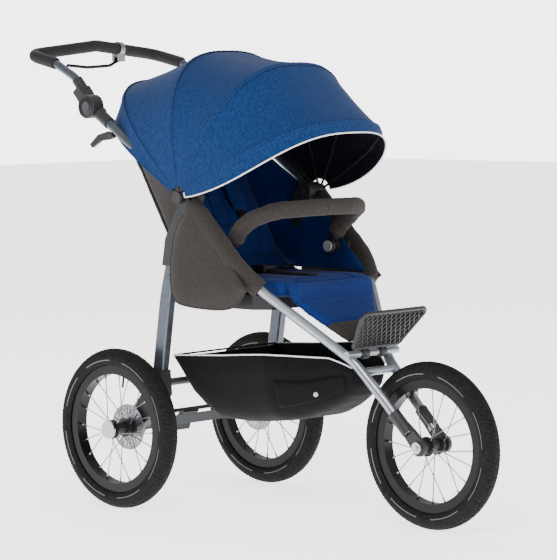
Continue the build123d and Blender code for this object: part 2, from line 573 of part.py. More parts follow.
bumper_half = [at(180, -338, 480), at(185, -352, 503), at(182, -392, 534), at(150, -441, 556), at(90, -462, 560)]
bumper_points = bumper_half + [Vector(-p.X, p.Y, p.Z) for p in reversed(bumper_half)]
bumper = tube_along(bumper_points, [18.0, 45.0, 55.0, 60.0, 60.0, 55.0, 45.0, 18.0], BUMPER_D)
knob = bar_x(*BUMPER_AT, SOCKET_R, KNOB_IN, KNOB_OUT)
knob += plate_x([(-336, 449.5), (-300, 449.5), (-318, 486), (-344, 486)], KNOB_IN, KNOB_OUT)
knob -= bar_x(*BUMPER_AT, 6.0 + RUNNING, KNOB_IN - 5, KNOB_OUT + 5)
knob_cap_hole = bar_x(*BUMPER_AT, 14.0 + RUNNING, KNOB_IN - 5, KNOB_IN + 5)
knob -= knob_cap_hole
save("bumper_bar", bumper + both(knob)[0] + both(knob)[1])
cap = bar_x(*BUMPER_AT, 14.0, KNOB_IN - 2.4, KNOB_IN + 2.0)
for name, side in (("left", 0), ("right", 1)):
    save(f"{name}_bumper_button", both(cap)[side])

# ---------------------------------------------------------------- footrest and basket
plate_dir = (FOOT_BAR[0] - 76.0, FOOT_BAR[1] + 103.0)
PLATE_LENGTH = 134.0


def foot_point(distance, aside):
    return along(FOOT_BAR, plate_dir, distance, aside)


foot_slab = plate_x([foot_point(14, -5), foot_point(PLATE_LENGTH, -5), foot_point(PLATE_LENGTH, 5),
                     foot_point(14, 5)], -120, 120)
low_c, high_c = foot_point(14, 0), foot_point(PLATE_LENGTH, 0)
taper = [at(88, *low_c), at(119, *high_c), at(-119, *high_c), at(-88, *low_c)]
normal = (taper[1] - taper[0]).cross(taper[3] - taper[0]).normalized()
window = extrude(make_face(Polyline(*[p + normal * 20 for p in taper], close=True)), 40, dir=-normal)
foot_plate = foot_slab & window
for x in (-32, 32):
    foot_plate += bar_x(*FOOT_BAR, FOOT_BAR_D / 2 + 5, x - 12, x + 12)
    foot_plate += plate_x([foot_point(0, -9), foot_point(20, -5), foot_point(20, 5), foot_point(0, 9)], x - 12, x + 12)
foot_plate -= bar_x(*FOOT_BAR, FOOT_BAR_D / 2 + RUNNING, -60, 60)
save("footrest_plate", foot_plate)

BASKET_WALL = 2.5
basket_side = [(-118, 186), (-160, 70), (-222, 20), (-490, 50), (-604, 112), (-612, 176), (-560, 200), (-434, 209)]
basket_plan = [(BASKET_HALF, -100), (BASKET_HALF, -434), (80, -572), (48, -650)]


def basket_block(inset, rise):
    """Basket body, drawn in by inset all round and opened upward by rise."""
    side = offset_outline(basket_side, inset, rise)
    block = plate_x(side, -BASKET_HALF, BASKET_HALF)
    plan_points = [at(x - inset, b, -50) for x, b in basket_plan]
    plan_points += [Vector(-p.X, p.Y, p.Z) for p in reversed(plan_points)]
    block = block & extrude(make_face(Polyline(*plan_points, close=True)), 500, dir=(0, 0, 1))
    low = [(b - inset, r) for b, r in ((BASKET_HALF, 190), (150, 62), (128, 0))]
    front = [at(x, 0, r) for x, r in low] + [at(-x, 0, r) for x, r in reversed(low)]
    front = [at(low[0][0], 0, 400)] + front + [at(-low[0][0], 0, 400)]
    return block & extrude(make_face(Polyline(*front, close=True)), 700, dir=(0, -1, 0))


def offset_outline(points, inset, rise):
    """Side outline moved inward: bottom and ends by inset, top edge lifted by rise."""
    if not inset:
        return points
    middle = (-350.0, 130.0)
    moved = []
    for index, (back, height) in enumerate(points):
        if index in (0, 5, 6, 7):
            moved.append((back + (-inset if back > middle[0] else inset * (index == 5)), height + rise))
        else:
            length = sqrt((back - middle[0]) ** 2 + (height - middle[1]) ** 2)
            pull = 1 - inset * 1.6 / length
            moved.append((middle[0] + (back - middle[0]) * pull, middle[1] + (height - middle[1]) * pull))
    return moved


basket = basket_block(0, 0) - basket_block(BASKET_WALL, 60)
basket = max(basket.solids(), key=lambda s: s.volume)
save("basket", basket)
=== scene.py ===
from math import asin, cos, exp, pi, radians, sin, sqrt

import bpy
from mathutils import Matrix, Vector, noise


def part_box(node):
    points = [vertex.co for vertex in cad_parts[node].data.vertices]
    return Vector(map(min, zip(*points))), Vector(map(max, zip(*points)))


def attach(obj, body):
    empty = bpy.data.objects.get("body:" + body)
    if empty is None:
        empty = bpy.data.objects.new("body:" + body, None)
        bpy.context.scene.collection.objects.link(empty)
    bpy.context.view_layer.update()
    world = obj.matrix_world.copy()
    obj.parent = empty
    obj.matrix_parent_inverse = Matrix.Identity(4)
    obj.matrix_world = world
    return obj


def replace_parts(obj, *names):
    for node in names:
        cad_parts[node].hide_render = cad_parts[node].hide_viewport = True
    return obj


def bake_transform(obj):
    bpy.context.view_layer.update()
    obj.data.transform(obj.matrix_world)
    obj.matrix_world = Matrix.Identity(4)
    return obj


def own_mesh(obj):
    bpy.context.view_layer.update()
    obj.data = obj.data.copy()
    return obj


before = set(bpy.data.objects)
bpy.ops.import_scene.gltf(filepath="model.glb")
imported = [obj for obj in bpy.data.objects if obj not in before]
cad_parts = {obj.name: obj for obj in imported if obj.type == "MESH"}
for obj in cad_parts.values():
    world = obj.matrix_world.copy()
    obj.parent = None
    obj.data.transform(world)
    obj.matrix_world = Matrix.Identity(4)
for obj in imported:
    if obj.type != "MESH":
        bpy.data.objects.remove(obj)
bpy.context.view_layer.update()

MM = 0.001
TYRE_LOW, TYRE_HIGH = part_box("left_tyre")
AXLE_Y = (TYRE_LOW[1] + TYRE_HIGH[1]) / 2
AXLE_Z = (TYRE_LOW[2] + TYRE_HIGH[2]) / 2


def at(x, back, rise):
    """Point in metres from millimetres beside the rear axle, as in the part's own layout."""
    return Vector((x * MM, AXLE_Y + back * MM, AXLE_Z + rise * MM))


# ---------------------------------------------------------------- materials
CLOTH_SHINE = 0.1


def surface(name, colour, rough=0.5, metal=0.0, second=None, mix_scale=500.0, stretch=(1, 1, 1),
            grain=0.0, grain_scale=900.0, weave=0.0, weave_scale=700.0, sheen=0.0, coat=0.0, glow=0.0,
            shine=0.4):
    """Procedural finish: two mottled colours, a rough grain and an optional woven relief."""
    mat = bpy.data.materials.new(name)
    mat.use_nodes = True
    nodes, links = mat.node_tree.nodes, mat.node_tree.links
    shader = nodes["Principled BSDF"]
    shader.inputs["Metallic"].default_value = metal
    shader.inputs["Coat Weight"].default_value = coat
    shader.inputs["Sheen Weight"].default_value = sheen
    shader.inputs["Sheen Roughness"].default_value = 0.5
    shader.inputs["Specular IOR Level"].default_value = CLOTH_SHINE if weave else shine
    shader.inputs["Emission Color"].default_value = (1, 1, 1, 1)
    shader.inputs["Emission Strength"].default_value = glow
    place = nodes.new("ShaderNodeTexCoord")
    mapping = nodes.new("ShaderNodeMapping")
    mapping.inputs["Scale"].default_value = stretch
    links.new(place.outputs["Object"], mapping.inputs["Vector"])

    mottle = nodes.new("ShaderNodeTexNoise")
    mottle.inputs["Scale"].default_value = mix_scale
    mottle.inputs["Detail"].default_value = 4.0
    links.new(mapping.outputs["Vector"], mottle.inputs["Vector"])
    ramp = nodes.new("ShaderNodeValToRGB")
    ramp.color_ramp.elements[0].position, ramp.color_ramp.elements[1].position = 0.36, 0.64
    ramp.color_ramp.elements[0].color = (*colour, 1.0)
    ramp.color_ramp.elements[1].color = (*(second or [c * 1.12 for c in colour]), 1.0)
    links.new(mottle.outputs["Fac"], ramp.inputs["Fac"])
    links.new(ramp.outputs["Color"], shader.inputs["Base Color"])

    wear = nodes.new("ShaderNodeTexNoise")
    wear.inputs["Scale"].default_value = 38.0
    wear.inputs["Detail"].default_value = 6.0
    links.new(mapping.outputs["Vector"], wear.inputs["Vector"])
    spread = nodes.new("ShaderNodeMapRange")
    spread.inputs["To Min"].default_value = max(0.02, rough - 0.07)
    spread.inputs["To Max"].default_value = min(1.0, rough + 0.07)
    links.new(wear.outputs["Fac"], spread.inputs["Value"])
    links.new(spread.outputs["Result"], shader.inputs["Roughness"])

    height = None
    if grain:
        grains = nodes.new("ShaderNodeTexNoise")
        grains.inputs["Scale"].default_value = grain_scale
        grains.inputs["Detail"].default_value = 3.0
        links.new(mapping.outputs["Vector"], grains.inputs["Vector"])
        relief = nodes.new("ShaderNodeBump")
        relief.inputs["Strength"].default_value = grain
        relief.inputs["Distance"].default_value = 0.0006
        links.new(grains.outputs["Fac"], relief.inputs["Height"])
        height = relief
    if weave:
        for axis in ("X", "Z"):
            threads = nodes.new("ShaderNodeTexWave")
            threads.bands_direction = axis
            threads.inputs["Scale"].default_value = weave_scale / 6.3
            threads.inputs["Distortion"].default_value = 0.6
            links.new(place.outputs["Object"], threads.inputs["Vector"])
            relief = nodes.new("ShaderNodeBump")
            relief.inputs["Strength"].default_value = weave
            relief.inputs["Distance"].default_value = 0.0004
            links.new(threads.outputs["Fac"], relief.inputs["Height"])
            if height:
                links.new(height.outputs["Normal"], relief.inputs["Normal"])
            height = relief
    if height:
        links.new(height.outputs["Normal"], shader.inputs["Normal"])
    return mat


NAVY = surface("canopy navy", (0.0035, 0.021, 0.085), 0.9, second=(0.008, 0.037, 0.13), mix_scale=260,
               stretch=(1, 1, 0.35), weave=0.3, sheen=0.06, grain=0.15)
LINING = surface("dark lining", (0.0025, 0.003, 0.008), 0.95, weave=0.2, sheen=0.02)
BLUE = surface("seat blue", (0.003, 0.013, 0.082), 0.85, second=(0.006, 0.024, 0.125), mix_scale=300,
               weave=0.35, sheen=0.06, grain=0.15)
HEATHER = surface("grey heather", (0.016, 0.0135, 0.0125), 0.92, second=(0.045, 0.039, 0.036),
                  mix_scale=620, stretch=(0.5, 1, 1), weave=0.3, sheen=0.08, grain=0.25)
PIPING = surface("white piping", (0.72, 0.73, 0.75), 0.6, weave=0.3, sheen=0.2)
STITCH = surface("stitching", (0.014, 0.045, 0.13), 0.8, grain=0.2)
WEBBING = surface("black webbing", (0.005, 0.005, 0.006), 0.75, weave=0.9, weave_scale=900, sheen=0.04)
MESH_CLOTH = surface("basket cloth", (0.003, 0.003, 0.0035), 0.85, second=(0.007, 0.007, 0.008),
                     weave=0.5, sheen=0.03, grain=0.2)
RUBBER = surface("tyre rubber", (0.005, 0.005, 0.005), 0.75, second=(0.010, 0.010, 0.010),
                 mix_scale=90, grain=0.3, shine=0.15)
STRIPE = surface("reflective stripe", (0.12, 0.125, 0.13), 0.5, grain=0.1)
BLACK = surface("moulded black", (0.010, 0.010, 0.011), 0.42, grain=0.25, grain_scale=1500)
GLOSS = surface("gloss black", (0.003, 0.003, 0.0035), 0.3, grain=0.05, shine=0.2)
STEEL = surface("bright steel", (0.40, 0.41, 0.43), 0.28, metal=1.0, grain=0.05)
WIRE = surface("drawn wire", (0.17, 0.175, 0.185), 0.34, metal=1.0, grain=0.05)
BRUSHED = surface("brushed steel", (0.27, 0.275, 0.29), 0.34, metal=1.0, stretch=(1, 12, 12), grain=0.3)
SILVER = surface("anodised silver", (0.28, 0.30, 0.33), 0.30, metal=0.9, second=(0.33, 0.35, 0.38),
                 mix_scale=60, grain=0.08, grain_scale=1800)
TUBE_GREY = surface("anodised grey", (0.085, 0.096, 0.115), 0.36, metal=0.7, second=(0.105, 0.118, 0.14),
                    mix_scale=60, grain=0.08, grain_scale=1800)
GREY_PLASTIC = surface("grey plastic", (0.018, 0.0185, 0.020), 0.5, grain=0.25, grain_scale=1500)
BEAM_GREY = surface("beam grey", (0.055, 0.058, 0.063), 0.45, metal=0.4, grain=0.15)
BUTTON = surface("button grey", (0.42, 0.43, 0.44), 0.36, metal=0.4, grain=0.08)
GRIP = surface("grip rubber", (0.009, 0.009, 0.010), 0.78, grain=0.9, grain_scale=420)
BADGE = surface("plain badge", (0.62, 0.64, 0.66), 0.32, metal=0.6, grain=0.05)

WHEEL_FINISH = {"rim": GLOSS, "spokes": WIRE, "hub": BLACK, "brake_disc": BRUSHED}
NODE_FINISH = {
    "frame_tubes": SILVER, "frame_knuckles": GREY_PLASTIC, "hinge_pins": GREY_PLASTIC,
    "fork_ends": GREY_PLASTIC, "front_axle": STEEL, "seat_base": BLACK, "bumper_sockets": BLACK,
    "buckle": BLACK, "buckle_button": GREY_PLASTIC, "leg_tubes": TUBE_GREY, "leg_housings": GREY_PLASTIC,
    "axle_brackets": GREY_PLASTIC, "stub_axles": STEEL, "rear_cross_beams": BEAM_GREY, "foot_brake": BLACK,
    "pusher_tubes": TUBE_GREY, "pusher_knuckles": GREY_PLASTIC, "handle_joint_bases": GREY_PLASTIC,
    "handle_tube": TUBE_GREY, "handle_grip": GRIP, "handle_joint_heads": GREY_PLASTIC,
    "brake_clamp": BRUSHED, "brake_lever": GLOSS,
}
for side in ("left", "right"):
    NODE_FINISH[f"{side}_handle_button"] = BEAM_GREY
    NODE_FINISH[f"{side}_bumper_button"] = BUTTON
    NODE_FINISH[f"{side}_fold_lever"] = BLACK
for bow_name in ("rear", "middle", "top", "front"):
    NODE_FINISH[f"canopy_{bow_name}_bow"] = BLACK
for name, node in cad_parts.items():
    ending = name.split("_", 1)[-1]
    finish = NODE_FINISH.get(name) or WHEEL_FINISH.get(ending)
    if finish and node.type == "MESH":
        node.data.materials.clear()
        node.data.materials.append(finish)


# ---------------------------------------------------------------- mesh helpers
def mesh_object(name, points, faces, *mats):
    """Smooth mesh in the scene, with its materials in order."""
    data = bpy.data.meshes.new(name)
    data.from_pydata([tuple(p) for p in points], [], faces)
    data.update()
    data.shade_smooth()
    obj = bpy.data.objects.new(name, data)
    bpy.context.scene.collection.objects.link(obj)
    for mat in mats:
        obj.data.materials.append(mat)
    return obj


def grid_faces(rows, columns, wrap_rows=False, wrap_columns=False):
    """Quads over a grid of points listed row by row."""
    faces = []
    for i in range(rows if wrap_rows else rows - 1):
        for j in range(columns if wrap_columns else columns - 1):
            a, b = i * columns, ((i + 1) % rows) * columns
            k = (j + 1) % columns
            faces.append((a + j, a + k, b + k, b + j))
    return faces


def bake(obj):
    """The mesh as its modifiers leave it."""
    graph = bpy.context.evaluated_depsgraph_get()
    data = bpy.data.meshes.new_from_object(obj.evaluated_get(graph))
    obj.modifiers.clear()
    obj.data = data
    obj.data.shade_smooth()
    return obj


def face_out(obj, centre):
    """Turns the faces so that they look away from centre."""
    data = obj.data
    total = sum((p.center - centre).dot(p.normal) * p.area for p in data.polygons)
    if total < 0:
        data.flip_normals()
    return obj


def thicken(obj, thickness, inner=False):
    """Gives a surface its thickness inward; the inner face takes the second material."""
    shell = obj.modifiers.new("shell", "SOLIDIFY")
    shell.thickness = thickness
    shell.offset = -1.0
    shell.material_offset = 1 if inner else 0
    return bake(obj)


def signed_power(value, power):
    """value's size to a power, with its sign kept: squares off a circle's sine and cosine."""
    return abs(value) ** power * (1 if value >= 0 else -1)


def area_of(obj):
    """Surface area in square metres."""
    return sum(p.area for p in obj.data.polygons)


def smooth_path(points, steps=8):
    """Rounded path through points."""
    out = []
    count = len(points)
    for i in range(count - 1):
        p0, p1 = points[max(0, i - 1)], points[i]
        p2, p3 = points[i + 1], points[min(count - 1, i + 2)]
        for k in range(steps):
            t = k / steps
            out.append(0.5 * ((2 * p1) + (p2 - p0) * t + (2 * p0 - 5 * p1 + 4 * p2 - p3) * t * t
                              + (3 * p1 - p0 - 3 * p2 + p3) * t ** 3))
    return out + [points[-1]]


def sweep(name, path, section, *mats, side=Vector((1, 0, 0))):
    """Closed section swept along a path. section(t, angle) gives (across, over) in metres."""
    points = []
    count = len(path)
    around = 24
    across = side
    for i, p in enumerate(path):
        ahead = (path[min(count - 1, i + 1)] - path[max(0, i - 1)]).normalized()
        across = (across - ahead * across.dot(ahead)).normalized()
        over = ahead.cross(across)
        for j in range(around):
            u, v = section(i / (count - 1), 2 * pi * j / around)
            points.append(p + across * u + over * v)
    faces = grid_faces(count, around, wrap_columns=True)
    faces.append(tuple(reversed(range(around))))
    faces.append(tuple((count - 1) * around + j for j in range(around)))
    obj = mesh_object(name, points, faces, *mats)
    middle = path[count // 2]
    return face_out(obj, middle)


def round_tube(name, path, radius, mat):
    def section(t, a):
        return (radius * cos(a), radius * sin(a))
    return sweep(name, path, section, mat, side=Vector((0.3, 0.5, 0.8)))


def cylinder(name, start, end, radius, mat, bevel=0.0, sides=32):
    """Turned piece between two points with eased ends."""
    run = end - start
    ease = bevel or radius * 0.12
    rings = [(0, radius - ease), (ease, radius), (run.length - ease, radius), (run.length, radius - ease)]
    z = run.normalized()
    x = z.orthogonal().normalized()
    y = z.cross(x)
    points = [start + z * d + (x * cos(2 * pi * j / sides) + y * sin(2 * pi * j / sides)) * r
              for d, r in rings for j in range(sides)]
    faces = grid_faces(len(rings), sides, wrap_columns=True)
    faces.append(tuple(reversed(range(sides))))
    faces.append(tuple((len(rings) - 1) * sides + j for j in range(sides)))
    obj = mesh_object(name, points, faces, mat)
    return face_out(obj, (start + end) / 2)


def join(name, objects):
    """One mesh from several that share a finish."""
    points, faces = [], []
    for obj in objects:
        base = len(points)
        points.extend(v.co.copy() for v in obj.data.vertices)
        faces.extend(tuple(base + k for k in p.vertices) for p in obj.data.polygons)
    mat = objects[0].data.materials[0]
    for obj in objects:
        bpy.data.objects.remove(obj)
    return mesh_object(name, points, faces, mat)


def ribbon(name, path, width, thickness, mat, across=Vector((1, 0, 0))):
    """Flat band with rounded edges."""
    def section(t, a):
        return (width / 2 * signed_power(cos(a), 0.4), thickness / 2 * signed_power(sin(a), 0.8))
    return sweep(name, path, section, mat, side=across)


def slab(name, low, high, mat):
    """Flat piece between two equal outlines."""
    count = len(low)
    faces = [tuple(range(count)), tuple(reversed(range(count, 2 * count)))]
    faces += [(k, k + count, (k + 1) % count + count, (k + 1) % count) for k in range(count)]
    obj = mesh_object(name, low + high, faces, mat)
    return face_out(obj, sum(low + high, Vector()) / (2 * count))


# ---------------------------------------------------------------- stuffed pieces
SIMULATED_STEPS = 20
VOXEL = 5.5 * MM


def stuffed(name, outline, thickness, pressure, cap, *mats):
    """Pad blown up by a cloth simulation. outline is a closed list of (across, along) in metres;
    the pad lies in its own x-y plane with its back at z = 0."""
    count = len(outline)
    points = [(x, y, 0.0) for x, y in outline] + [(x, y, thickness) for x, y in outline]
    faces = [tuple(reversed(range(count))), tuple(range(count, 2 * count))]
    faces += [(i, (i + 1) % count, (i + 1) % count + count, i + count) for i in range(count)]
    pad = mesh_object(name, points, faces, *mats)
    face_out(pad, Vector((0, sum(y for _, y in outline) / count, thickness / 2)))
    solid = pad.modifiers.new("solid", "REMESH")
    solid.mode = "VOXEL"
    solid.voxel_size = VOXEL
    bake(pad)
    before = [v.co.copy() for v in pad.data.vertices]
    fabric = pad.modifiers.new("fabric", "CLOTH")
    fabric.settings.quality = 5
    fabric.settings.mass = 0.3
    fabric.settings.use_pressure = True
    fabric.settings.uniform_pressure_force = pressure
    fabric.settings.effector_weights.gravity = 0.0
    for step in range(1, SIMULATED_STEPS + 1):
        bpy.context.scene.frame_set(step)
    bake(pad)
    bpy.context.scene.frame_set(1)
    for vertex, start in zip(pad.data.vertices, before):
        move = vertex.co - start
        if move.length > cap:
            vertex.co = start + move.normalized() * cap
    finer = pad.modifiers.new("finer", "SUBSURF")
    finer.levels = finer.render_levels = 1
    return bake(pad)


def sew(pad, seams, depth, width, middle):
    """Presses sewn lines into the front. seams are pairs of (x, y) ends in metres."""
    for vertex in pad.data.vertices:
        co = vertex.co
        if co.z < middle:
            continue
        press = 0.0
        for (ax, ay), (bx, by) in seams:
            dx, dy = bx - ax, by - ay
            t = max(0.0, min(1.0, ((co.x - ax) * dx + (co.y - ay) * dy) / (dx * dx + dy * dy)))
            distance = sqrt((co.x - ax - t * dx) ** 2 + (co.y - ay - t * dy) ** 2)
            press = max(press, exp(-(distance / width) ** 2))
        co.z -= depth * press + 0.0006 * noise.noise(co * 55)


def rounded_box(half, start, stop, radius, steps=5):
    """Outline of a rectangle with round corners, (x, y) in metres."""
    points = []
    for cx, cy, turn in ((half - radius, stop - radius, 0), (-half + radius, stop - radius, 90),
                         (-half + radius, start + radius, 180), (half - radius, start + radius, 270)):
        for k in range(steps + 1):
            a = radians(turn + 90 * k / steps)
            points.append((cx + radius * cos(a), cy + radius * sin(a)))
    return points


# ---------------------------------------------------------------- wheels
RING_R, SECTION_R = 177.5, 25.0
CARCASS_R = 20.0
WHEELBASE, HALF_TRACK = 809, 268
WHEELS = {"front": (0, -WHEELBASE, "front_wheel"), "left": (HALF_TRACK, 0, "left_wheel"),
          "right": (-HALF_TRACK, 0, "right_wheel")}
BLOCKS, STEPS_PER_BLOCK = 110, 4
GROOVE, SIDEWALL_STEP = 1.5, 0.35
# angles round the tyre's section, in degrees from the middle of the tread
BEAD_ANGLE, CARCASS_ANGLE = 132.8, 118.0
TREAD_EDGE, FLAT_EDGE, CENTRE_EDGE, CENTRE_GROOVE = 66, 68, 22, (19, 24)
RIDGES, LIGHT_LINE = ((92, 97), (116, 121)), (99, 103)
RIM_INNER_R, SPOKES, SPOKE_LEAD = 138.4, 20, 28.0


def inside(value, span):
    return span[0] < value < span[1]


def tyre(name, x, back):
    """Tyre with a blocked tread, two fine sidewall ridges and a broken light line."""
    around = BLOCKS * STEPS_PER_BLOCK
    outer = [-BEAD_ANGLE + 2 * BEAD_ANGLE * k / 56 for k in range(57)]
    inner = [CARCASS_ANGLE - 2 * CARCASS_ANGLE * k / 12 for k in range(13)]
    columns = len(outer) + len(inner)
    points = []
    for i in range(around):
        turn = 2 * pi * i / around
        for j, angle in enumerate(outer):
            radius = SECTION_R
            if abs(angle) < TREAD_EDGE:
                shoulder = abs(angle) > CENTRE_EDGE
                cross_cut = (i + (2 if angle > 0 else 0) + int(abs(angle) / 16)) % STEPS_PER_BLOCK == 0
                centre_cut = not shoulder and i % 8 == 0
                if (cross_cut and shoulder) or inside(abs(angle), CENTRE_GROOVE) or centre_cut:
                    radius -= GROOVE
            elif not any(inside(abs(angle), ridge) for ridge in RIDGES):
                radius -= SIDEWALL_STEP
            a = radians(angle)
            r = RING_R + radius * cos(a)
            points.append(at(x + radius * sin(a), back + r * cos(turn), r * sin(turn)))
        for angle in inner:
            a = radians(angle)
            r = RING_R + CARCASS_R * cos(a)
            points.append(at(x + CARCASS_R * sin(a), back + r * cos(turn), r * sin(turn)))
    obj = mesh_object(name, points, grid_faces(around, columns, True, True), RUBBER, STRIPE)
    face_out_ring(obj, x, back)
    for index, face in enumerate(obj.data.polygons):
        i, j = divmod(index, columns)
        angle = outer[j] if j < len(outer) else 0.0
        if abs(angle) < FLAT_EDGE:
            face.use_smooth = False
        if inside(abs(angle), LIGHT_LINE) and (i // 18) % 3:
            face.material_index = 1
    return obj


def face_out_ring(obj, x, back):
    """Outward faces for a ring round a wheel's axle."""
    total = 0.0
    for p in list(obj.data.polygons)[::37]:
        centre = p.center - at(x, back, 0)
        radial = Vector((0, centre.y, centre.z)).normalized() * RING_R * MM
        total += (centre - radial).dot(p.normal)
    if total < 0:
        obj.data.flip_normals()


for name, (x, back, body) in WHEELS.items():
    obj = tyre(f"{name}_tyre_rubber", x, back)
    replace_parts(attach(obj, body), f"{name}_tyre")
    nipples = []
    for i in range(SPOKES):
        side = 1 if i % 2 else -1
        a = 2 * pi * i / SPOKES
        lead = radians(SPOKE_LEAD if (i // 2) % 2 else -SPOKE_LEAD)
        rim_end = Vector((side * 3.0, RIM_INNER_R * cos(a), RIM_INNER_R * sin(a)))
        hub_end = Vector((side * 21.9, 21.5 * cos(a + lead), 21.5 * sin(a + lead)))
        run = (hub_end - rim_end).normalized()
        tip = rim_end + run * 13
        nipples.append(cylinder("nipple", at(x + rim_end.x, back + rim_end.y, rim_end.z),
                                at(x + tip.x, back + tip.y, tip.z), 2.3 * MM, STEEL, sides=10))
    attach(join(f"{name}_spoke_nipples", nipples), body)
    a = radians(63.0 if name == "front" else 99.0)
    stem = cylinder(f"{name}_valve_stem", at(x, back + 139 * cos(a), 139 * sin(a)),
                    at(x, back + 106 * cos(a), 106 * sin(a)), 2.9 * MM, BLACK, sides=20)
    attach(stem, body)

# ---------------------------------------------------------------- canopy
HINGE = at(0, -215, 587.5)
BOWS = {"rear": (-48.0, 425.0, 250.4, 3.0), "middle": (-13.0, 366.0, 253.2, 2.7),
        "top": (27.0, 363.0, 256.0, 2.6), "front": (62.0, 384.0, 258.8, 2.5)}
REAR_HEM = (-59.5, 398.0, 250.4, 3.4)
CLOTH_OVER = 3.4
CLOTH_T = 1.4
HEM_REACH = 4.0
COLUMNS = 110
ARCH_LENGTH = 1.16
LOW_EDGE = 30.0


def on_bow(bow, w, over, extra_angle=0.0):
    """Point w = 0..1 along a bow's arch, raised by over; extra_angle leans it forward."""
    angle, height, half, power = bow
    first = asin((LOW_EDGE / height) ** (power / 2)) / pi
    t = first + (1 - 2 * first) * (0.5 - 0.5 * cos(pi * w))
    c, s = cos(pi * t), sin(pi * t)
    x = (half + over) * signed_power(c, 2 / power)
    r = (height + over) * s ** (2 / power)
    lean = radians(angle + (extra_angle(r / height) if callable(extra_angle) else extra_angle))
    return HINGE + Vector((x * MM, -sin(lean) * r * MM, cos(lean) * r * MM))


def cloth_between(name, first, second, sag, lean_second=0.0, rows=18):
    """Cloth stretched from one bow to the next, drawn in by sag between them."""
    points = []
    for i in range(rows + 1):
        s = i / rows
        for j in range(COLUMNS + 1):
            w = j / COLUMNS
            p = on_bow(first, w, CLOTH_OVER).lerp(on_bow(second, w, CLOTH_OVER, lean_second), s)
            outward = p - Vector((p.x, HINGE.y, HINGE.z))
            reach = min(1.0, max(0.0, (outward.length / MM - 60) / 200))
            pull = sag * sin(pi * s) * reach
            ripple = noise.noise(Vector((w * 16, s * 2.3, sag * 3.1 + len(name))))
            fold = 2.4 * sin(pi * s) * ripple * reach
            p += outward.normalized() * (fold - pull) * MM
            p.x += (0.9 * noise.noise(Vector((p.y * 30, p.z * 12, 4.0))) * sin(pi * s)) * MM
            points.append(p)
    obj = mesh_object(name, points, grid_faces(rows + 1, COLUMNS + 1), NAVY, LINING)
    return face_out(obj, HINGE)


def front_lean(share):
    """The front hem leans further forward near the pivot."""
    return HEM_REACH + 21.0 * max(0.0, 1.0 - share) ** 1.3


def declare_cloth(width, length, area):
    """Takes a sheet's flat size in metres and its area, and caps the area at the flat size; the result is
    not kept.
    """
    area = min(area, width * length)


def canopy_piece(name, first, second, sag, nodes, rests, body=None, pair=None, **shape):
    """Canopy cloth on one body, or cloth drawn between the bows of a pair of bodies and left on no body."""
    obj = cloth_between(name, first, second, sag, **shape)
    area = area_of(obj)
    thicken(obj, CLOTH_T * MM, inner=True)
    if pair:
        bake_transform(obj)
    else:
        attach(obj, body)
    if nodes:
        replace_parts(obj, *nodes)
    declare_cloth(max(area / ARCH_LENGTH * 1.25, 0.02), ARCH_LENGTH, area)
    return obj


canopy_piece("canopy_rear_flap", REAR_HEM, BOWS["rear"], 1.0, ["canopy_rear_cloth"], ["canopy_rear_bow"],
             body="pusher", rows=8)
canopy_piece("canopy_back_panel", BOWS["rear"], BOWS["middle"], 6.0, ["canopy_middle_cloth"],
             ["canopy_rear_bow", "canopy_middle_bow"], pair=("pusher", "canopy_middle"))
canopy_piece("canopy_roof_panel", BOWS["middle"], BOWS["top"], 6.0, ["canopy_top_cloth"],
             ["canopy_middle_bow", "canopy_top_bow"], pair=("canopy_middle", "canopy_top"))
canopy_piece("canopy_front_panel", BOWS["top"], BOWS["front"], 5.0, ["canopy_front_cloth"],
             ["canopy_top_bow", "canopy_front_bow"], pair=("canopy_top", "canopy_front"))
canopy_piece("canopy_front_hem", BOWS["front"], BOWS["front"], 0.0, [], ["canopy_front_bow"],
             body="canopy_front", rows=6, lean_second=front_lean)

hem = [on_bow(BOWS["front"], j / COLUMNS, CLOTH_OVER + 0.8, front_lean) for j in range(COLUMNS + 1)]
low_edges = []
for j in (0, COLUMNS):
    start = on_bow(BOWS["front"], j / COLUMNS, CLOTH_OVER + 0.8, front_lean)
    end = on_bow(BOWS["front"], j / COLUMNS, CLOTH_OVER + 0.8)
    low_edges.append([start.lerp(end, k / 6) for k in range(7)])
piping_path = list(reversed(low_edges[0])) + hem[1:-1] + low_edges[1]
piping = round_tube("canopy_white_piping", piping_path, 1.8 * MM, PIPING)
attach(piping, "canopy_front")
flap_edge = [on_bow(REAR_HEM, j / COLUMNS, CLOTH_OVER - 0.7) for j in range(COLUMNS + 1)]
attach(round_tube("canopy_rear_binding", flap_edge, 2.0 * MM, NAVY), "pusher")

# sewn channels over the bows, with their two rows of stitches
BOW_BODIES = {"rear": "pusher", "middle": "canopy_middle", "top": "canopy_top", "front": "canopy_front"}
for name, body in BOW_BODIES.items():
    bow = BOWS[name]
    lean = radians(bow[0])
    forward = Vector((0, -cos(lean), -sin(lean)))
    rows = []
    for across in (-6.5, -5.6, -2.5, 2.5, 5.6, 6.5):
        lift = 0.2 if abs(across) > 6 else 1.1
        for j in range(COLUMNS + 1):
            rows.append(on_bow(bow, j / COLUMNS, CLOTH_OVER + lift) + forward * across * MM)
    channel = mesh_object(f"canopy_{name}_channel", rows, grid_faces(6, COLUMNS + 1), NAVY)
    face_out(channel, HINGE)
    thicken(channel, 1.6 * MM)
    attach(channel, body)
    stitches = []
    for across in (-5.0, 5.0):
        for j in range(4, COLUMNS - 4):
            start = on_bow(bow, (j + 0.2) / COLUMNS, CLOTH_OVER + 1.3) + forward * across * MM
            end = on_bow(bow, (j + 0.75) / COLUMNS, CLOTH_OVER + 1.3) + forward * across * MM
            stitches.append(cylinder("stitch", start, end, 0.5 * MM, STITCH, sides=6))
    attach(join(f"canopy_{name}_stitches", stitches), body)

# ---------------------------------------------------------------- seat
SEAT_BACK, SEAT_TOP = -335.0, 353.0
SEAM_WIDTH = 5 * MM


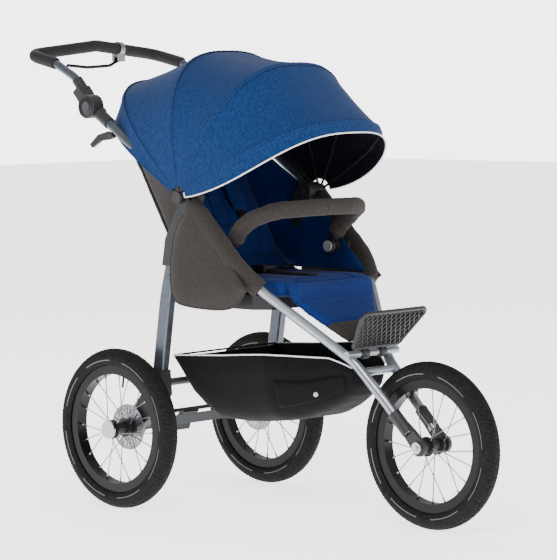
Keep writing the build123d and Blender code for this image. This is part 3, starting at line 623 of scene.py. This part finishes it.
def lay(obj, origin, along_dir, normal):
    """Moves a pad from its own x-y plane to its place."""
    y = along_dir.normalized()
    z = normal.normalized()
    x = y.cross(z)
    place = Matrix((x, y, z)).transposed().to_4x4()
    place.translation = origin
    obj.data.transform(place)
    obj.data.update()
    return obj


def cushion_piece(name, outline, thickness, mats, seams, origin, along_dir, normal, body, nodes=(),
                  depth=5.0, pressure=4.0, cap=7.0, bend=None, spot=None):
    """Sewn pad in its place. bend wraps it over an edge; spot picks the faces of the second cloth."""
    pad = stuffed(name, outline, thickness * MM, pressure, cap * MM, *mats)
    lines = [((ax * MM, ay * MM), (bx * MM, by * MM)) for (ax, ay), (bx, by) in seams]
    sew(pad, lines, depth * MM, SEAM_WIDTH, thickness * MM * 0.55)
    if spot:
        for face in pad.data.polygons:
            if spot(face.center):
                face.material_index = 1
    if bend:
        for vertex in pad.data.vertices:
            vertex.co = bend(vertex.co)
    lay(pad, origin, along_dir, normal)
    pad.data.update()
    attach(pad, body)
    if nodes:
        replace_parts(pad, *nodes)
    return pad


X_ACROSS, Y_BACK, Z_UP = Vector((1, 0, 0)), Vector((0, 1, 0)), Vector((0, 0, 1))
seat_seams = [((-100, -130), (-100, 130)), ((100, -130), (100, 130)), ((-100, 70), (100, 70)),
              ((-100, -40), (-172, -40)), ((100, -40), (172, -40)), ((-100, -115), (100, -115))]
cushion_piece("seat_pad", rounded_box(170 * MM, -143 * MM, 143 * MM, 26 * MM), 30, (BLUE,), seat_seams,
              at(0, SEAT_BACK, SEAT_TOP), Y_BACK, Z_UP, "frame", ["seat_cushion"])

REST_PATH = [(-474.0, 386.0), (-488.0, 372.0), (-498.0, 346.0), (-520.0, 320.0), (-562.0, 282.0),
             (-606.0, 243.0)]
rest_lengths = [0.0]
for a, b in zip(REST_PATH, REST_PATH[1:]):
    rest_lengths.append(rest_lengths[-1] + sqrt((b[0] - a[0]) ** 2 + (b[1] - a[1]) ** 2))


def bend_rest(co):
    """Wraps the flat leg rest over the seat's front edge."""
    distance = -co.y / MM
    k = 0
    while k < len(REST_PATH) - 2 and distance > rest_lengths[k + 1]:
        k += 1
    a, b = REST_PATH[k], REST_PATH[k + 1]
    t = (distance - rest_lengths[k]) / (rest_lengths[k + 1] - rest_lengths[k])
    step = (b[0] - a[0], b[1] - a[1])
    length = sqrt(step[0] ** 2 + step[1] ** 2)
    normal = (step[1] / length, -step[0] / length)
    lift = co.z / MM - 12
    return at(co.x / MM, a[0] + step[0] * t + normal[0] * lift, a[1] + step[1] * t + normal[1] * lift)


rest_end = rest_lengths[-1]
rest_outline = [(-152, -4), (-152, -42), (-112, -110), (-66, -rest_end + 12), (-54, -rest_end),
                (54, -rest_end), (66, -rest_end + 12), (112, -110), (152, -42), (152, -4)]
rest_seams = [((-130, -60), (130, -60)), ((-92, -rest_end + 62), (92, -rest_end + 62))]
cushion_piece("leg_rest_pad", [(x * MM, y * MM) for x, y in rest_outline], 16, (BLUE, HEATHER), rest_seams,
              Vector((0, 0, 0)), Y_BACK, Z_UP, "frame", (), depth=3.0, cap=4.0, pressure=3.0,
              bend=bend_rest, spot=lambda c: c.y < (-rest_end + 60) * MM)


def badge_ring(height, count=32):
    turns = [2 * pi * k / count for k in range(count)]
    return [bend_rest(Vector((26 * cos(a), -rest_end + 30 + 9 * sin(a), height)) * MM) for a in turns]


badge = slab("leg_rest_plain_badge", badge_ring(17.2), badge_ring(19.2), BADGE)
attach(badge, "frame")

# ---------------------------------------------------------------- backrest
TILT = radians(31.0)
BACK_LOW = at(0, -150, 380)
BACK_UP = Vector((0, sin(TILT), cos(TILT)))
BACK_FRONT = Vector((0, -cos(TILT), sin(TILT)))
back_seams = [((-92, 45), (-92, 360)), ((92, 45), (92, 360)), ((-92, 130), (92, 130)),
              ((-92, 330), (92, 330)), ((-24, 130), (-24, 330)), ((24, 130), (24, 330))]
cover_seams = [((-110, 60), (-110, 350)), ((110, 60), (110, 350)), ((-110, 350), (110, 350))]
cushion_piece("backrest_cushion", rounded_box(170 * MM, 28 * MM, 377 * MM, 40 * MM), 24, (BLUE,), back_seams,
              BACK_LOW + BACK_FRONT * 9 * MM, BACK_UP, BACK_FRONT, "backrest", ["backrest_pad"])
cushion_piece("backrest_rear_cover", rounded_box(176 * MM, 24 * MM, 383 * MM, 44 * MM), 8, (HEATHER,),
              cover_seams, BACK_LOW + BACK_FRONT * 8 * MM, BACK_UP, -BACK_FRONT, "backrest",
              ["backrest_shell"], depth=1.5, pressure=2.0, cap=3.0)


def on_back(x, up, out):
    return BACK_LOW + X_ACROSS * x * MM + BACK_UP * up * MM + BACK_FRONT * out * MM


def shoulder_section(t, a):
    """Flat oval, drawn in and thinned at both ends of the pad."""
    end = abs(2 * t - 1)
    return (26 * MM * signed_power(cos(a), 0.6) * (1 - 0.12 * end ** 6),
            6.5 * MM * signed_power(sin(a), 0.8) * (1 - 0.6 * end ** 10))


STRAP_ROUTE = [(60, 352, 26), (61, 344, 38), (63, 300, 45), (66, 220, 47), (70, 140, 46), (72, 100, 42)]
PAD_ROUTE = [(62, 326, 43), (64, 280, 49), (66, 220, 51), (69, 160, 50)]
straps = []
for side in (-1, 1):
    path = smooth_path([on_back(side * x, up, out) for x, up, out in STRAP_ROUTE])
    straps.append(ribbon("shoulder_webbing", path, 25 * MM, 1.8 * MM, WEBBING))
    pad_path = smooth_path([on_back(side * x, up, out) for x, up, out in PAD_ROUTE])
    pad = sweep(f"{'left' if side > 0 else 'right'}_shoulder_pad", pad_path, shoulder_section, BLUE)
    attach(pad, "backrest")
shoulder = join("shoulder_webbing_pair", straps)
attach(shoulder, "backrest")
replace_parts(shoulder, "shoulder_straps")

lap = []
for side in (-1, 1):
    path = smooth_path([at(side * 168, -196, 398), at(side * 140, -212, 396), at(side * 90, -240, 396),
                        at(side * 50, -253, 401), at(side * 25, -255, 402)])
    lap.append(ribbon("lap", path, 25 * MM, 1.8 * MM, WEBBING, across=Vector((0, 1, 0))))
path = smooth_path([at(0, back, rise) for back, rise in
                    ((-438, 388), (-420, 393), (-360, 393), (-300, 396), (-282, 401))])
lap.append(ribbon("crotch", path, 32 * MM, 2.0 * MM, WEBBING))
lap_straps = join("lap_and_crotch_webbing", lap)
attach(lap_straps, "frame")
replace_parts(lap_straps, "lap_and_crotch_straps")

# ---------------------------------------------------------------- side sleeves and wings
WING_HEM = [(-246, 548), (-212, 540), (-186, 505), (-168, 440), (-166, 372), (-176, 338), (-205, 322),
            (-300, 316), (-372, 322), (-408, 345), (-430, 372)]
WING_TOP = [(-252, 552), (-268, 536), (-284, 520), (-302, 503), (-320, 486), (-338, 469), (-356, 452),
            (-374, 435), (-390, 420), (-410, 400), (-432, 378)]
for side, name in ((1, "left"), (-1, "right")):
    low = at(side * 190, -450, 355)
    high = at(side * 230, -400, 409.5)
    hinge = at(side * 232, -215, 587.5)
    run = (hinge - high).normalized()
    top = hinge - run * 27 * MM
    path = smooth_path([top, hinge - run * 80 * MM, high.lerp(hinge, 0.35), high.lerp(hinge, 0.1),
                        high.lerp(low, 0.35), low.lerp(high, 0.25)], steps=10)

    def sleeve_section(t, a, sign=side):
        wide = 31.0 - 6.0 * t + 1.2 * noise.noise(Vector((t * 14, a, 2.0 * sign)))
        deep = 17.5 + 0.8 * noise.noise(Vector((t * 20, a * 1.5, 5.0 * sign)))
        return (deep * cos(a) * MM, wide * signed_power(sin(a), 0.8) * MM)
    sleeve = sweep(f"{name}_tube_sleeve", path, sleeve_section, HEATHER)
    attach(sleeve, "frame")
    hem_line = smooth_path([at(side * 247, *p) for p in WING_HEM], 5)
    top_line = smooth_path([at(side * 247, *p) for p in WING_TOP], 5)
    points = []
    rows = 12
    for i in range(rows + 1):
        s = i / rows
        for a, b in zip(top_line, hem_line):
            p = a.lerp(b, s)
            bulge = 7.0 * sin(pi * s) * (0.6 + 0.4 * noise.noise(p * 14))
            p.x += side * (bulge + 0.8 * noise.noise(p * 45)) * MM
            if s > 0.55:
                p.x -= side * 9.0 * ((s - 0.55) / 0.45) ** 2 * MM
            points.append(p)
    wing = mesh_object(f"{name}_seat_wing", points, grid_faces(rows + 1, len(top_line)), HEATHER)
    face_out(wing, at(0, -300, 430))
    area = area_of(wing)
    thicken(wing, 2.2 * MM)
    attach(wing, "frame")
    declare_cloth(0.30, 0.30, area)
    if side > 0:
        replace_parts(wing, "side_covers")
    binding = round_tube(f"{name}_wing_binding", points[-len(top_line):], 2.0 * MM, HEATHER)
    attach(binding, "frame")

# inner side panels, sewn to the main tube and to the backrest's edge
for side, name in ((1, "left"), (-1, "right")):
    rows, neck_rows, steps = 16, 8, 14
    points = []
    for k in range(rows + neck_rows + 1):
        up = min(1.0, k / rows)
        neck = max(0.0, (k - rows) / neck_rows)
        on_frame = at(side * (198 + 17 * up - 6 * neck), -428 + 208 * up + 180 * neck,
                      388 + 198 * up + 112 * neck)
        behind = on_back(side * 174, 6 + 340 * up + 38 * neck, 14)
        for j in range(steps + 1):
            s = j / steps
            p = on_frame.lerp(behind, s)
            p.x += side * (9.0 * sin(pi * s) * (0.4 + up) + 2.0 * noise.noise(p * 16)) * MM
            points.append(p)
    faces = grid_faces(rows + neck_rows + 1, steps + 1)
    panel = mesh_object(f"{name}_inner_panel", points, faces, HEATHER, BLUE)
    face_out(panel, at(0, -200, 520))
    area = area_of(panel)
    thicken(panel, 2.0 * MM, inner=True)
    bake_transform(panel)
    declare_cloth(0.40, 0.40, area)

# cloth that closes the corner between the seat and the backrest
rows, steps = 12, 30
points = []
for k in range(rows + 1):
    s = k / rows
    for j in range(steps + 1):
        x = -172 + 344 * j / steps
        p = at(x, -212, 386).lerp(on_back(x, 52, 22), s)
        p.z -= (9.0 * sin(pi * s) + 1.5 * noise.noise(p * 24)) * MM
        points.append(p)
corner = mesh_object("seat_corner_cloth", points, grid_faces(rows + 1, steps + 1), HEATHER, BLUE)
face_out(corner, at(0, -400, 800))
area = area_of(corner)
thicken(corner, 2.0 * MM, inner=True)
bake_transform(corner)
declare_cloth(0.35, 0.20, area)

# ---------------------------------------------------------------- bumper bar
BAR_HALF = [(180, -338, 480), (185, -352, 503), (182, -392, 534), (150, -441, 556), (90, -462, 560),
            (30, -466, 561)]
bar_points = [at(*p) for p in BAR_HALF] + [at(-x, back, rise) for x, back, rise in reversed(BAR_HALF)]
bar_path = smooth_path(bar_points, 14)


def bar_section(t, a):
    """Round cover, creased most at its two bends, with a seam along the inside."""
    at_bend = abs(t - 0.18) < 0.1 or abs(t - 0.82) < 0.1
    crease = 1.1 * noise.noise(Vector((t * 55, a * 1.3, 1.0))) * (1.0 + 1.6 * at_bend)
    seam = 1.2 * exp(-((a - 4.3) / 0.07) ** 2)
    end = 1 - 0.35 * max(0.0, abs(2 * t - 1) - 0.96) / 0.04
    r = (21.0 + crease - seam) * end
    return (r * cos(a) * MM, r * sin(a) * MM)


bar = sweep("bumper_padded_cover", bar_path, bar_section, HEATHER)
finer = bar.modifiers.new("finer", "SUBSURF")
finer.levels = finer.render_levels = 1
bake(bar)
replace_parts(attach(bar, "bumper"), "bumper_bar")
arms = []
for side in (-1, 1):
    knob_in, knob_out = (at(side * x, -318, 449.5) for x in (174, 186))
    arms.append(cylinder("knob", knob_in, knob_out, 19 * MM, BLACK, sides=48))
    arms.append(cylinder("arm", at(side * 180, -320, 455), at(side * 181, -338, 486), 5.5 * MM, BLACK))
    collar_low, collar_high = at(side * 180, -333, 474), at(side * 182, -343, 489)
    arms.append(cylinder("collar", collar_low, collar_high, 15 * MM, BLACK, sides=40))
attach(join("bumper_arm_ends", arms), "bumper")

# ---------------------------------------------------------------- basket
BASKET_STATIONS = [(-118, 186, 186, 182), (-128, 186, 187, 150), (-145, 186, 188, 108), (-162, 186, 189, 72),
                   (-190, 186, 191, 44), (-225, 186, 193, 22), (-290, 186, 197, 22), (-360, 186, 203, 28),
                   (-430, 186, 208, 36), (-470, 158, 206, 44), (-515, 125, 203, 62), (-560, 90, 200, 86),
                   (-590, 72, 187, 106), (-606, 62, 178, 130), (-610, 58, 177, 168)]
ACROSS = 60
BASKET_SQUARE = 0.42
TUCK = 0.16 / 170


def station_at(back):
    """Back, half-width, top and bottom of the basket, between the stated stations."""
    for a, b in zip(BASKET_STATIONS, BASKET_STATIONS[1:]):
        if back >= b[0]:
            t = max(0.0, (a[0] - back) / (a[0] - b[0]))
            return [a[m] + (b[m] - a[m]) * t for m in range(4)]
    return list(BASKET_STATIONS[-1])


def basket_point(back, a):
    """Point on the bag; a runs from 0 at the left top edge to pi at the right one."""
    _, wide, top, bottom = station_at(back)
    c, s = cos(a), sin(a)
    deep = abs(s) ** BASKET_SQUARE
    x = wide * signed_power(c, BASKET_SQUARE) * (1 - TUCK * deep * (top - bottom))
    p = at(x, back, top - (top - bottom) * deep)
    p.x += 1.6 * noise.noise(p * 22) * deep * MM
    p.z += 1.8 * noise.noise(p * 17 + Vector((3, 1, 2))) * deep * MM
    return p


backs = [a[0] + (b[0] - a[0]) * k / 5
         for a, b in zip(BASKET_STATIONS, BASKET_STATIONS[1:]) for k in range(5)]
backs.append(BASKET_STATIONS[-1][0])
stations = [station_at(back) for back in backs]
points = [basket_point(back, pi * j / ACROSS) for back in backs for j in range(ACROSS + 1)]
basket = mesh_object("basket_bag", points, grid_faces(len(stations), ACROSS + 1), MESH_CLOTH)
face_out(basket, at(0, -350, 130))
flat_area = area_of(basket)
thicken(basket, 1.8 * MM)
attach(basket, "frame")
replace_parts(basket, "basket")
declare_cloth(0.72, 0.86, flat_area)
rim_path = [at(w, b, t + 1) for b, w, t, _ in stations]
rim_back = [at(-w, b, t + 1) for b, w, t, _ in reversed(stations)]
soft = [basket]
for label, path in (("left", rim_path), ("right", rim_back)):
    soft.append(round_tube(f"basket_{label}_piping", path, 1.9 * MM, PIPING))
REAR_EDGE = ((186, -118), (60, -116), (-60, -116), (-186, -118))
rear_edge = smooth_path([at(x, back, 187) for x, back in REAR_EDGE])
soft.append(round_tube("basket_rear_piping", rear_edge, 2.4 * MM, MESH_CLOTH))
FLAP_BACKS = [-446, -592]
for side, name in ((1, "left"), (-1, "right")):
    rows = []
    for i in range(8):
        for j in range(25):
            back = FLAP_BACKS[0] + (FLAP_BACKS[1] - FLAP_BACKS[0]) * j / 24
            a = (0.03 + 0.022 * i + 0.012 * sin(pi * j / 24)) * pi
            p = basket_point(back, a if side > 0 else pi - a)
            p += Vector((side * 3.4, -1.2, 0)) * MM
            rows.append(p)
    flap = mesh_object(f"basket_{name}_pocket_flap", rows, grid_faces(8, 25), MESH_CLOTH)
    face_out(flap, at(0, -450, 150))
    soft.append(thicken(flap, 1.6 * MM))
    spot = basket_point(-528, 0.13 * pi if side > 0 else pi - 0.13 * pi)
    out = Vector((side, -0.55, 0)).normalized()
    snap_low, snap_high = spot + out * 2 * MM, spot + out * 7.5 * MM
    soft.append(cylinder(f"basket_{name}_snap", snap_low, snap_high, 6 * MM, BUTTON, sides=28))
for obj in soft:
    if obj is not basket:
        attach(obj, "frame")
    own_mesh(obj)

# ---------------------------------------------------------------- footrest
FORK_LENGTH, FORK_ANGLE = 272.5, radians(45.2)
CROWN = (-WHEELBASE + FORK_LENGTH * cos(FORK_ANGLE), FORK_LENGTH * sin(FORK_ANGLE))
FOOT_BAR = (CROWN[0] - 3.0, CROWN[1] + 18.5)
foot_dir = Vector((0, -76.0, 103.0)).normalized()
foot_normal = Vector((0, -foot_dir.z, foot_dir.y))


def on_foot(x, distance, out):
    """Point on the footrest: across, along from its bar, and out from its plane, in millimetres."""
    return at(x, *FOOT_BAR) + foot_dir * distance * MM + foot_normal * out * MM


plate = []
low_half, high_half, near, far = 86.0, 115.0, 20.0, 131.0
RIB_PITCH, RIB_SLOPE = 17.0, 0.62


def foot_half(distance):
    """Half-width of the footrest, which widens away from its bar."""
    return low_half + (high_half - low_half) * (distance - near) / (far - near)


corners = []
for cx, cy, turn in ((high_half - 16, far - 16, 0), (-high_half + 16, far - 16, 90),
                     (-low_half + 12, near + 12, 180), (low_half - 12, near + 12, 270)):
    radius = 16 if cy > 60 else 12
    for k in range(7):
        a = radians(turn + 90 * k / 6)
        corners.append((cx + radius * cos(a), cy + radius * sin(a)))
rim_loop = [on_foot(x, y, 0) for x, y in corners + corners[:2]]
plate.append(round_tube("rim", rim_loop, 5.0 * MM, BLACK))
for slope in (1, -1):
    for k in range(-12, 13):
        start = k * RIB_PITCH
        hits = []
        for step in range(0, 112):
            y = near + step * (far - near) / 111
            x = start + slope * (y - near) * RIB_SLOPE
            if abs(x) < foot_half(y) - 1:
                hits.append((x, y))
        if len(hits) > 6:
            (xa, ya), (xb, yb) = hits[0], hits[-1]
            ends = on_foot(xa, ya, 1.6), on_foot(xb, yb, 1.6)
            plate.append(cylinder("rib", *ends, 2.3 * MM, BLACK, sides=8))
skin_low, skin_high = ([on_foot(x, y, out) for x, y in corners] for out in (-2.2, 0.4))
plate.append(slab("skin", skin_low, skin_high, BLACK))
for x in (-32, 32):
    plate.append(cylinder("clip", at(x - 12, *FOOT_BAR), at(x + 12, *FOOT_BAR), 14 * MM, BLACK, sides=40))
    plate.append(cylinder("web", on_foot(x - 6, 8, 0), on_foot(x - 6, 26, 0), 5 * MM, BLACK))
    plate.append(cylinder("web", on_foot(x + 6, 8, 0), on_foot(x + 6, 26, 0), 5 * MM, BLACK))
footrest = join("footrest_moulding", plate)
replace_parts(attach(footrest, "footrest"), "footrest_plate")

# ---------------------------------------------------------------- small hard details
JOINT = (120, 811)
for side, name in ((1, "left"), (-1, "right")):
    bolts = [cylinder("bolt", at(side * 226, *spot), at(side * 228.5, *spot), 5 * MM, STEEL, sides=24)
             for spot in ((-60, 100), (-90, 128))]
    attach(join(f"{name}_bracket_bolts", bolts), "rear_legs")
    vents = []
    for k in range(3):
        back, rise = -152.5 + 3.4 * k, 418 - 14.5 * k
        ends = at(side * 218.0, back - 8, rise - 4), at(side * 218.0, back + 8, rise + 4)
        vents.append(cylinder("vent", *ends, 1.4 * MM, GLOSS, sides=12))
    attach(join(f"{name}_leg_vents", vents), "rear_legs")
    ends = at(side * 253.2, *JOINT), at(side * 254.2, *JOINT)
    ring = cylinder(f"{name}_handle_joint_ring", *ends, 24 * MM, BLACK, sides=56)
    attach(ring, "handle")

# ---------------------------------------------------------------- studio
FLOOR_GLOW, SKY_LIGHT, SKY_SEEN = 2.2, 0.7, 4.6
origin = Vector((0, AXLE_Y, 0))
bpy.ops.mesh.primitive_plane_add(size=40, location=(0, 0, 0))
floor = bpy.context.object
floor.name = "studio_floor"
floor.data.materials.append(surface("pale floor", (0.93, 0.93, 0.93), 0.8, glow=FLOOR_GLOW))


def soft_light(name, place, power, size, target=Vector((0, 0, 0.55))):
    lamp = bpy.data.lights.new(name, "AREA")
    lamp.energy, lamp.size, lamp.shape = power, size, "DISK"
    obj = bpy.data.objects.new(name, lamp)
    bpy.context.scene.collection.objects.link(obj)
    obj.location = place
    obj.rotation_euler = (target - Vector(place)).to_track_quat("-Z", "Y").to_euler()


soft_light("key", (-2.6, -2.2, 3.6), 120, 2.2)
soft_light("fill", (1.6, -4.2, 2.0), 40, 2.6)
soft_light("rim", (1.5, 3.2, 3.2), 60, 2.0)
world = bpy.data.worlds.new("studio")
world.use_nodes = True
world.node_tree.nodes["Background"].inputs["Color"].default_value = (0.98, 0.985, 1.0, 1)
path_kind = world.node_tree.nodes.new("ShaderNodeLightPath")
brightness = world.node_tree.nodes.new("ShaderNodeMapRange")
brightness.inputs["To Min"].default_value = SKY_LIGHT
brightness.inputs["To Max"].default_value = SKY_SEEN
background = world.node_tree.nodes["Background"]
world.node_tree.links.new(path_kind.outputs["Is Camera Ray"], brightness.inputs["Value"])
world.node_tree.links.new(brightness.outputs["Result"], background.inputs["Strength"])
bpy.context.scene.world = world

AZIMUTH, ELEVATION, ROLL = radians(-46.251), radians(4.558), radians(-0.591)
back_dir = Vector((sin(AZIMUTH) * cos(ELEVATION), -cos(AZIMUTH) * cos(ELEVATION), sin(ELEVATION)))
flat_x = Vector((0, 0, 1)).cross(back_dir).normalized()
flat_y = back_dir.cross(flat_x)
cam_x = flat_x * cos(ROLL) + flat_y * sin(ROLL)
cam_y = flat_y * cos(ROLL) - flat_x * sin(ROLL)
camera_data = bpy.data.cameras.new("camera")
camera_data.lens = 167.09
camera = bpy.data.objects.new("camera", camera_data)
bpy.context.scene.collection.objects.link(camera)
place = Matrix((cam_x, cam_y, back_dir)).transposed().to_4x4()
place.translation = origin + Vector((-4.69744, -4.80441, 1.09408))
camera.matrix_world = place
bpy.context.scene.camera = camera
